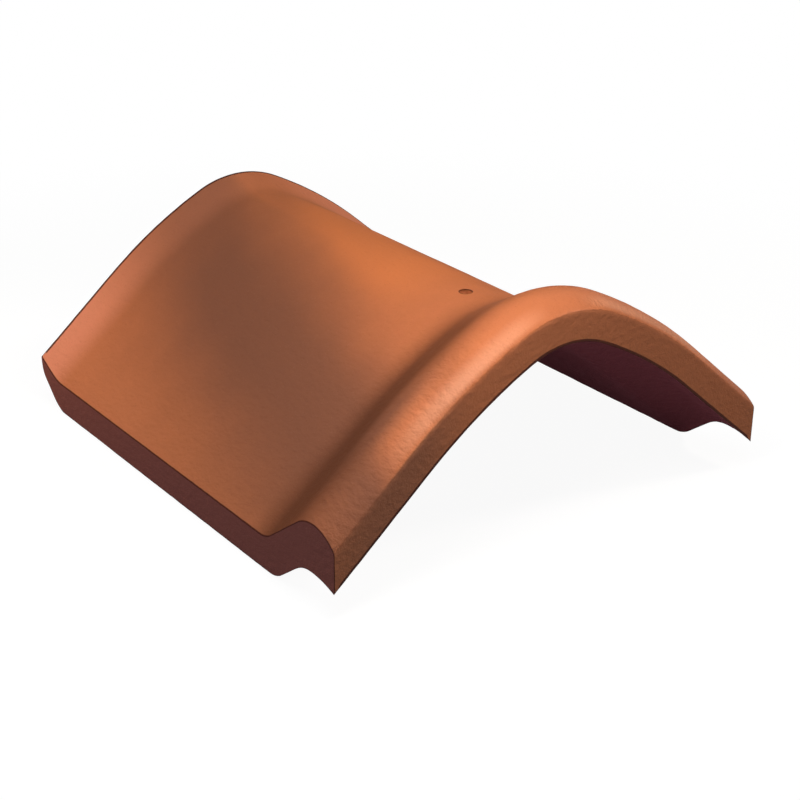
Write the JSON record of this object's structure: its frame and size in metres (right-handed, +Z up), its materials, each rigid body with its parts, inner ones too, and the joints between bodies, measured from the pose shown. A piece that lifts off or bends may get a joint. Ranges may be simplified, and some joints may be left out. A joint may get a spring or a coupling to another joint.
{
  "type": "ridge tile",
  "caption": "Arched ridge tile of fired clay with a raised collar roll at its front end, a flared tongue at its back end and a nail hole through the crown.",
  "frame": {"origin": "middle of the tile's footprint, at the height of the lower edges of its legs", "axes": "+Y along the ridge from the collar to the tongue, +X across the ridge, +Z up"},
  "size_m": [0.28, 0.311, 0.1305],
  "materials": {
    "fired_clay": "matte terracotta with a fine sandy grain"
  },
  "bodies": {
    "root": {"ridge_tile": "fired_clay"}
  },
  "joints": []
}
